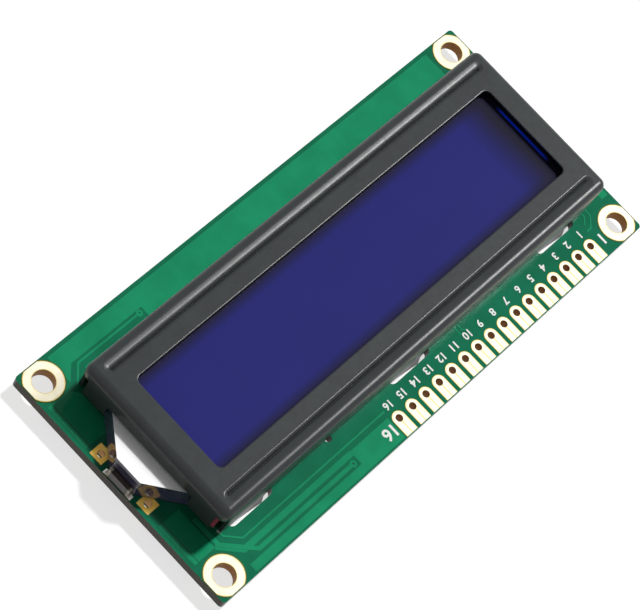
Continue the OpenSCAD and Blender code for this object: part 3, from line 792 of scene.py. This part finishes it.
package = mottled_finish(
    "dark_package", (0.010, 0.006, 0.004), (0.035, 0.020, 0.012), 2500.0, 0.3, depth=0.01
)
phosphor = mottled_finish("phosphor", (0.55, 0.42, 0.05), (0.70, 0.56, 0.10), 2500.0, 0.4)
tin = mottled_finish("tinned_metal", (0.42, 0.41, 0.38), (0.66, 0.64, 0.60), 2500.0, 0.3, 0.5, 1.0, 0.01)
# painted shade: the terminals get a darker copy of the solder's tin, for the bezel's shade they sit in
shaded_tin = mottled_finish("shaded_tin", (0.15, 0.13, 0.10), (0.30, 0.27, 0.22), 2500.0, 0.35, 0.5, 1.0, 0.01)


def chipped_block(bm, low, high, round_by, material_index=0):
    """A small block between two corners, with its edges broken."""
    made = bmesh.ops.create_cube(bm, size=1.0)["verts"]
    bmesh.ops.scale(bm, vec=high - low, verts=made)
    bmesh.ops.translate(bm, vec=(low + high) / 2, verts=made)
    faces = {f for v in made for f in v.link_faces}
    for f in faces:
        f.material_index = material_index
    broken = bmesh.ops.bevel(
        bm, geom=list({e for f in faces for e in f.edges}), offset=round_by, segments=3,
        profile=0.5, affect="EDGES", material=-1,
    )
    return broken["faces"]


lamp = bmesh.new()
low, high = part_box("led_body")
chipped_block(lamp, low, high, 0.05 * MM)
window_face = min(lamp.faces, key=lambda f: middle(f).x - (1.0 if abs(f.normal.x) > 0.99 else 0.0))
bmesh.ops.inset_region(lamp, faces=[window_face], thickness=0.22 * MM)
bmesh.ops.translate(lamp, verts=window_face.verts, vec=(0.08 * MM, 0, 0))
window_face.material_index = 1
finish_piece("lamp_body", lamp, package, phosphor, replaces=["led_body"], slot="led_package")

terminals = bmesh.new()
low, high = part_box("led_terminals")
TERMINAL = 0.4 * MM
for y0, y1 in ((low.y, low.y + TERMINAL), (high.y - TERMINAL, high.y)):
    chipped_block(terminals, Vector((low.x, y0, low.z)), Vector((high.x, y1, high.z)), 0.07 * MM)
finish_piece("lamp_terminals", terminals, shaded_tin, replaces=["led_terminals"], slot="tinned_metal")


def solder_fillet(bm, x0, x1, y0, reach, z0, height, up=1):
    """Solder drawn up against an upright face at y0: a hollow quarter round, swept along x."""
    profile = [Vector((x0, y0, z0)), Vector((x0, y0 + reach, z0))]
    for i in range(1, 7):
        a = math.radians(15 * i)
        profile.append(Vector((
            x0, y0 + reach * (1 - math.sin(a)), z0 + up * height * (1 - math.cos(a)))))
    section = bm.faces.new([bm.verts.new(p) for p in profile])
    swept = bmesh.ops.extrude_face_region(bm, geom=[section])["geom"]
    for v in (g for g in swept if isinstance(g, bmesh.types.BMVert)):
        v.co.x = x1


solder = bmesh.new()
low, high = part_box("led_solder")
foot_low, foot_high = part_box("led_terminals")
solder_fillet(solder, low.x, high.x, foot_high.y, high.y - foot_high.y, low.z, high.z - low.z)
solder_fillet(solder, low.x, high.x, foot_low.y, low.y - foot_low.y, low.z, high.z - low.z)
bmesh.ops.recalc_face_normals(solder, faces=solder.faces)
finish_piece("lamp_solder", solder, tin, replaces=["led_solder"], slot="tinned_metal")

# ---- Resin caps and chips --------------------------------------------------------------------------
# The controller and its driver are bare silicon, glued to the board's back, wired, and covered
# by a drop of glossy black resin that has run out to a round skirt.

resin = mottled_finish(
    "black_resin", (0.006, 0.006, 0.007), (0.014, 0.014, 0.015), 700.0, 0.16, 0.5, depth=0.02
)
silicon = mottled_finish("silicon", (0.12, 0.13, 0.16), (0.20, 0.21, 0.25), 4000.0, 0.15, 0.5)
paint("controller_chip", silicon)
paint("driver_chip", silicon)
for node, name in (("controller_cap", "controller_resin"), ("driver_cap", "driver_resin")):
    drop = bmesh.new()
    low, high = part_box(node)
    radius, depth = (high.x - low.x) / 2, high.z - low.z
    # the section, from the skirt's rim in to the crown, then turned full circle
    section = [drop.verts.new((radius * r, 0, -depth * h)) for r, h in (
        (1.0, 0.0), (0.985, 0.04), (0.95, 0.12), (0.86, 0.32), (0.72, 0.56),
        (0.54, 0.78), (0.34, 0.92), (0.16, 0.985), (0.0, 1.0),
    )]
    line = [drop.edges.new(pair) for pair in zip(section, section[1:])]
    bmesh.ops.spin(
        drop, geom=section + line, cent=(0, 0, 0), axis=(0, 0, 1), angle=2 * math.pi,
        steps=64, use_merge=True, use_duplicate=False,
    )
    bmesh.ops.remove_doubles(drop, verts=drop.verts, dist=1e-6)
    bmesh.ops.holes_fill(drop, edges=[e for e in drop.edges if e.is_boundary], sides=0)
    bmesh.ops.translate(drop, verts=drop.verts, vec=((low.x + high.x) / 2, (low.y + high.y) / 2, high.z))
    bmesh.ops.recalc_face_normals(drop, faces=drop.faces)
    finish_piece(name, drop, resin, replaces=[node], slot="black_resin", smooth=True)

# ---- Chip resistors and capacitors -------------------------------------------------------------------
# Small ceramic blocks with tinned ends, soldered to the board's back. The resistors have a black
# lacquered face and the capacitors are bare tan ceramic.

black_ceramic = mottled_finish(
    "black_ceramic", (0.008, 0.008, 0.009), (0.022, 0.022, 0.024), 4000.0, 0.35, depth=0.01
)
tan_ceramic = mottled_finish("tan_ceramic", (0.30, 0.20, 0.11), (0.40, 0.28, 0.16), 3000.0, 0.4, depth=0.01)
CHIP_HALF_W, CHIP_L, CHIP_CAP = 0.625 * MM, 2.0 * MM, 0.35 * MM


def chip_parts(bodies, ends, xs, y, height):
    """A row of chip parts on the board's back, with their ends and solder."""
    for x in xs:
        half_body = CHIP_L / 2 - CHIP_CAP
        chipped_block(
            bodies, Vector((x - CHIP_HALF_W, y - half_body, back - height)),
            Vector((x + CHIP_HALF_W, y + half_body, back)), 0.03 * MM,
        )
        for side in (-1, 1):
            inner, outer = sorted((y + side * half_body, y + side * CHIP_L / 2))
            chipped_block(
                ends, Vector((x - CHIP_HALF_W, inner, back - height)),
                Vector((x + CHIP_HALF_W, outer, back)), 0.06 * MM,
            )
            solder_fillet(
                ends, x - CHIP_HALF_W * 0.95, x + CHIP_HALF_W * 0.95, y + side * CHIP_L / 2,
                side * 0.45 * MM, back, 0.7 * height, -1,
            )


low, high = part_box("resistor_bodies")
RESISTORS = 6
pitch = (high.x - low.x - 2 * CHIP_HALF_W) / (RESISTORS - 1)
bodies, ends = bmesh.new(), bmesh.new()
chip_parts(
    bodies, ends, [low.x + CHIP_HALF_W + i * pitch for i in range(RESISTORS)],
    (low.y + high.y) / 2, high.z - low.z,
)
bmesh.ops.recalc_face_normals(ends, faces=ends.faces)
finish_piece("resistors", bodies, black_ceramic, replaces=["resistor_bodies"], slot="black_ceramic")
finish_piece("resistor_caps", ends, tin, replaces=["resistor_ends"], slot="tinned_metal")

low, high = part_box("capacitor_bodies")
bodies, ends = bmesh.new(), bmesh.new()
chip_parts(
    bodies, ends, [low.x + CHIP_HALF_W, high.x - CHIP_HALF_W], (low.y + high.y) / 2, high.z - low.z
)
bmesh.ops.recalc_face_normals(ends, faces=ends.faces)
finish_piece("capacitors", bodies, tan_ceramic, replaces=["capacitor_bodies"], slot="tan_ceramic")
finish_piece("capacitor_caps", ends, tin, replaces=["capacitor_ends"], slot="tinned_metal")

# ---- Floor, light and camera -----------------------------------------------------------------------
# A plain pale floor under the module and a small lamp high over its far end. A broad lamp beside
# it shows in glossy surfaces only. The room is dim, and white to whatever looks at or mirrors it.

FLOOR_GREY, FLOOR_GLOW, ROOM_LIGHT = 0.35, 0.7, 0.20


def looked_at(tree):
    """1 for what the camera, a glossy surface or clear matter looks at, and 0 for other rays."""
    rays = tree.nodes.new("ShaderNodeLightPath")
    return combine(tree, "MAXIMUM", rays.outputs["Is Camera Ray"], combine(
        tree, "MAXIMUM", rays.outputs["Is Glossy Ray"], rays.outputs["Is Transmission Ray"]))



floor_mesh = bmesh.new()
bmesh.ops.create_grid(floor_mesh, x_segments=1, y_segments=1, size=3.0)
bmesh.ops.translate(floor_mesh, verts=floor_mesh.verts, vec=(0, 0, cad_box[0].z))
mesh = bpy.data.meshes.new("floor")
floor_mesh.to_mesh(mesh)
floor_mesh.free()
floor = bpy.data.objects.new("floor", mesh)
bpy.context.scene.collection.objects.link(floor)
floor_finish = bpy.data.materials.new("pale_floor")
floor_finish.use_nodes = True
tree = floor_finish.node_tree
tree.nodes.clear()
matt = tree.nodes.new("ShaderNodeBsdfDiffuse")
matt.inputs["Color"].default_value = (FLOOR_GREY, FLOOR_GREY, FLOOR_GREY, 1.0)
glow = tree.nodes.new("ShaderNodeEmission")
glow.inputs["Color"].default_value = (1.0, 1.0, 1.0, 1.0)
tree.links.new(combine(tree, "MULTIPLY", looked_at(tree), FLOOR_GLOW), glow.inputs["Strength"])
both = tree.nodes.new("ShaderNodeAddShader")
tree.links.new(matt.outputs[0], both.inputs[0])
tree.links.new(glow.outputs[0], both.inputs[1])
out = tree.nodes.new("ShaderNodeOutputMaterial")
tree.links.new(both.outputs[0], out.inputs["Surface"])
mesh.materials.append(floor_finish)

world = bpy.data.worlds.new("room")
bpy.context.scene.world = world
world.use_nodes = True
tree = world.node_tree
tree.nodes.clear()
room = tree.nodes.new("ShaderNodeBackground")
room.inputs["Color"].default_value = (1.0, 1.0, 1.0, 1.0)
tree.links.new(spread(tree, looked_at(tree), 0.0, 1.0, ROOM_LIGHT, 1.0), room.inputs["Strength"])
out = tree.nodes.new("ShaderNodeOutputWorld")
tree.links.new(room.outputs[0], out.inputs["Surface"])


def aimed(position, target, roll=0.0):
    """The place and turn of a lamp or camera that looks from one point to another."""
    way = (target - position).to_track_quat("-Z", "Y") @ Quaternion((0, 0, 1), roll)
    return Matrix.Translation(position) @ way.to_matrix().to_4x4()


LAMP_AWAY = 1.6


def soft_lamp(name, size, energy, height, side):
    """A round lamp, `height` degrees up and `side` degrees round from the module's far end."""
    data = bpy.data.lights.new(name, "AREA")
    data.shape = "DISK"
    data.size = size
    data.energy = energy
    lamp = bpy.data.objects.new(name, data)
    bpy.context.scene.collection.objects.link(lamp)
    height, side = math.radians(height), math.radians(side)
    way = Vector((-math.cos(height) * math.cos(side), math.cos(height) * math.sin(side), math.sin(height)))
    lamp.matrix_world = aimed(way * LAMP_AWAY, Vector((0, 0, 0)))
    return lamp


soft_lamp("overhead_softbox", 0.15, 25.0, 63, 2).visible_glossy = False
soft_lamp("side_strip", 0.42, 25.0, 50, 25).visible_diffuse = False

CAMERA_PLACE = Vector((171.3, 31.07, 290.23)) * MM
CAMERA_TARGET = Vector((3.23, -1.332, 1.6)) * MM
CAMERA_ROLL, CAMERA_LENS, CAMERA_SENSOR = math.radians(37.09), 153.7, 36.0
camera_data = bpy.data.cameras.new("camera")
camera_data.lens = CAMERA_LENS
camera_data.sensor_width = CAMERA_SENSOR
camera = bpy.data.objects.new("camera", camera_data)
bpy.context.scene.collection.objects.link(camera)
camera.matrix_world = aimed(CAMERA_PLACE, CAMERA_TARGET, CAMERA_ROLL)
bpy.context.scene.camera = camera
bpy.context.scene.view_settings.view_transform = "Standard"
